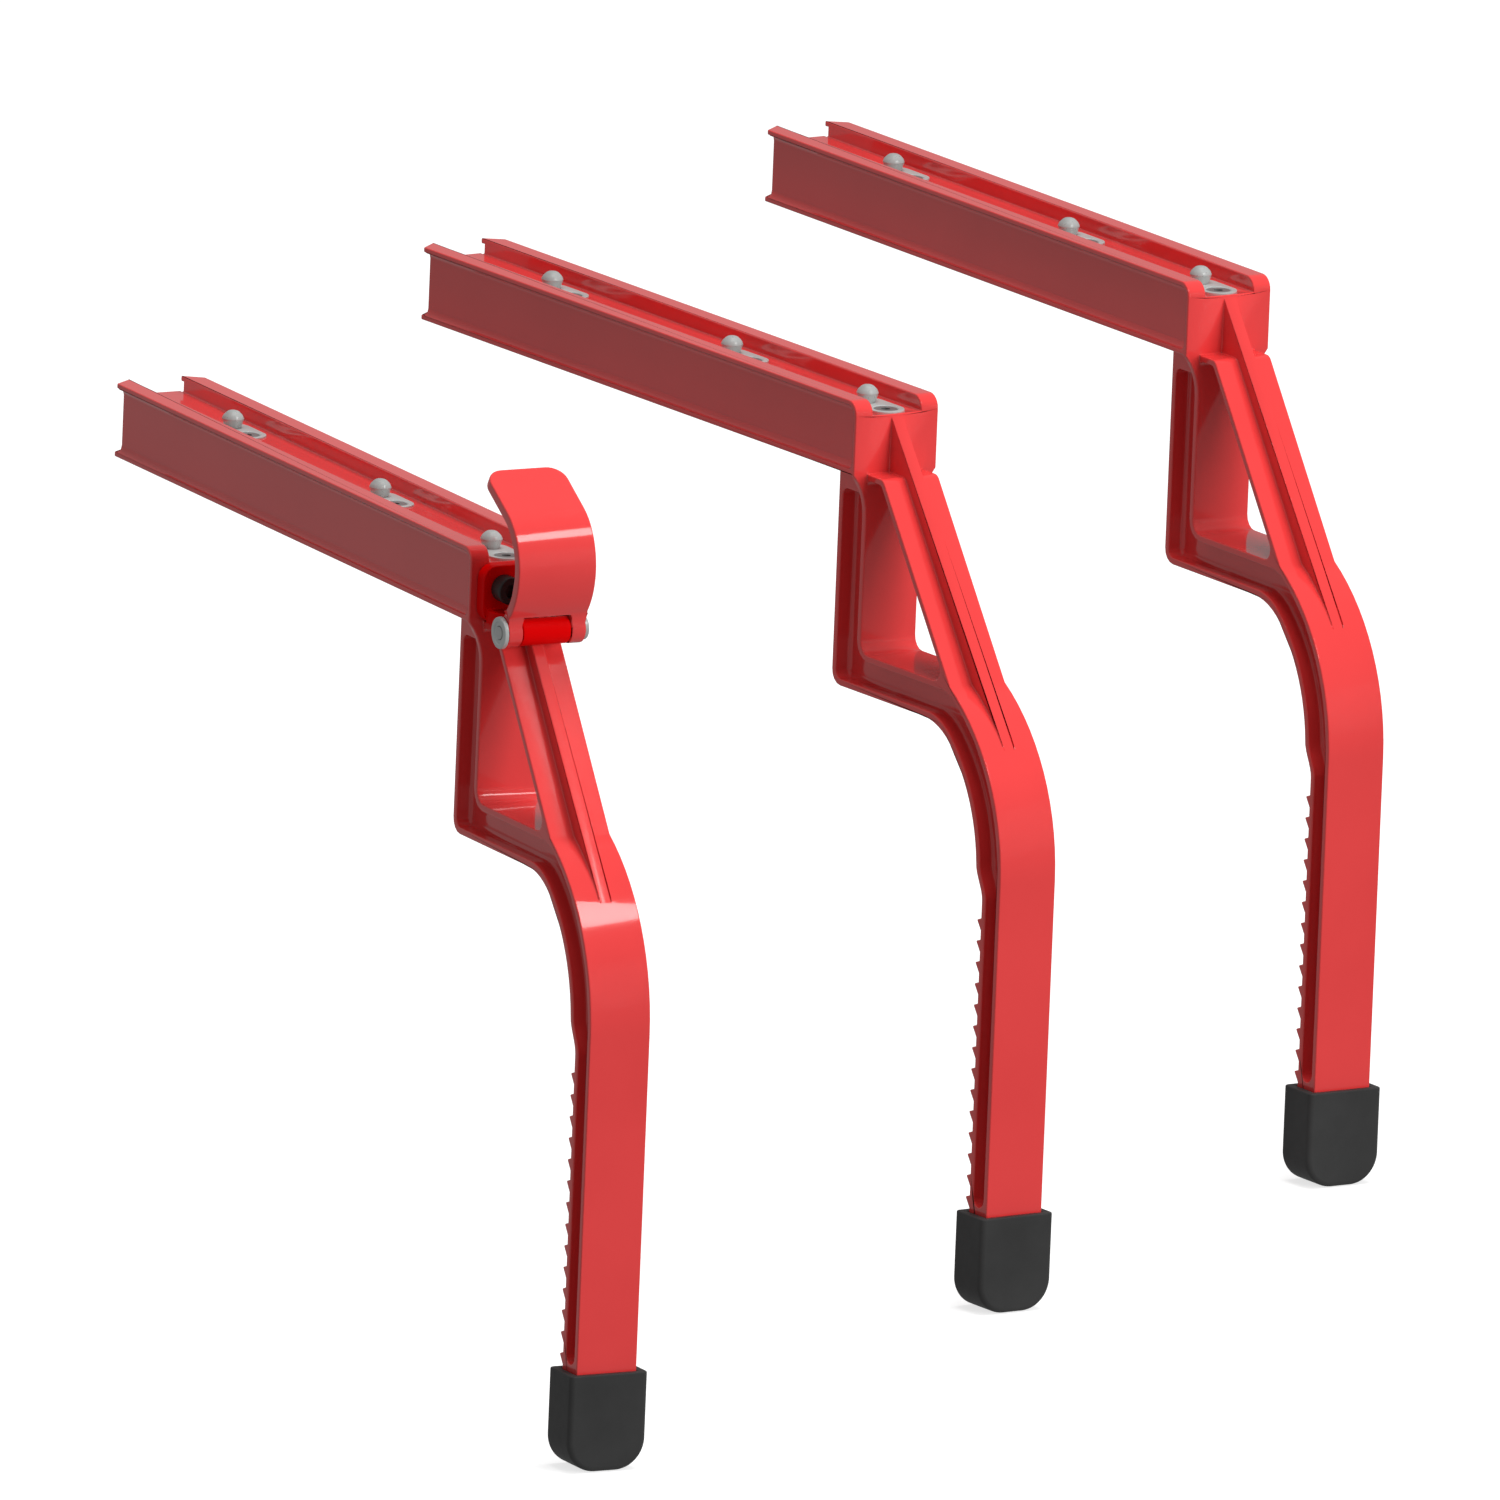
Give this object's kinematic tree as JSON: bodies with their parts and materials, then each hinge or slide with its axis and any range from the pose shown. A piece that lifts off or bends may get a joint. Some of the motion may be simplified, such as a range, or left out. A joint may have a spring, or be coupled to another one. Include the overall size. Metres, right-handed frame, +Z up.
{
  "type": "axle_jack_stand_set",
  "caption": "Set of cantilever axle jack stands: red cast arms with toothed legs on rubber feet, steel locating pins in the beams and a bolted flip latch on one nose",
  "frame": {"origin": "middle of the second stand's sole, on the floor (mount sole_b)", "axes": "+Z up; +Y from that stand's nose towards the far end of its beam; +X to the right when seen from the nose"},
  "size_m": [0.6844, 0.8446, 0.4393],
  "materials": {
    "cast_red": "glossy powder coat over a casting",
    "lever_red": "glossy powder coat",
    "latch_red": "semi-gloss pure red paint",
    "foot_rubber": "matt moulded rubber",
    "plate_steel": "satin zinc-plated steel",
    "bolt_black": "black oxide steel"
  },
  "bodies": {
    "root": {"arm_a": "cast_red", "foot_a": "foot_rubber", "pin_plate_a1": "plate_steel", "locating_pin_a1": "plate_steel", "plate_screw_a1": "plate_steel", "pin_plate_a2": "plate_steel", "locating_pin_a2": "plate_steel", "plate_screw_a2": "plate_steel", "pin_plate_a3": "plate_steel", "locating_pin_a3": "plate_steel", "plate_screw_a3": "plate_steel", "arm_b": "cast_red", "foot_b": "foot_rubber", "pin_plate_b1": "plate_steel", "locating_pin_b1": "plate_steel", "plate_screw_b1": "plate_steel", "pin_plate_b2": "plate_steel", "locating_pin_b2": "plate_steel", "plate_screw_b2": "plate_steel", "pin_plate_b3": "plate_steel", "locating_pin_b3": "plate_steel", "plate_screw_b3": "plate_steel", "arm_c": "cast_red", "foot_c": "foot_rubber", "pin_plate_c1": "plate_steel", "locating_pin_c1": "plate_steel", "plate_screw_c1": "plate_steel", "pin_plate_c2": "plate_steel", "locating_pin_c2": "plate_steel", "plate_screw_c2": "plate_steel", "pin_plate_c3": "plate_steel", "locating_pin_c3": "plate_steel", "plate_screw_c3": "plate_steel", "latch_block": "latch_red", "latch_bolt_left": "bolt_black", "latch_bolt_right": "bolt_black", "hinge_pin": "plate_steel", "pin_retainer": "plate_steel"},
    "lever": {"latch_lever": "lever_red"}
  },
  "joints": [
    {"name": "lever_flip", "type": "hinge", "parent": "root", "child": "lever", "pos_m": [-0.33869, -0.10657, 0.3694], "axis": [0.9934, -0.1146, 0], "range_deg": [0, 110]}
  ]
}
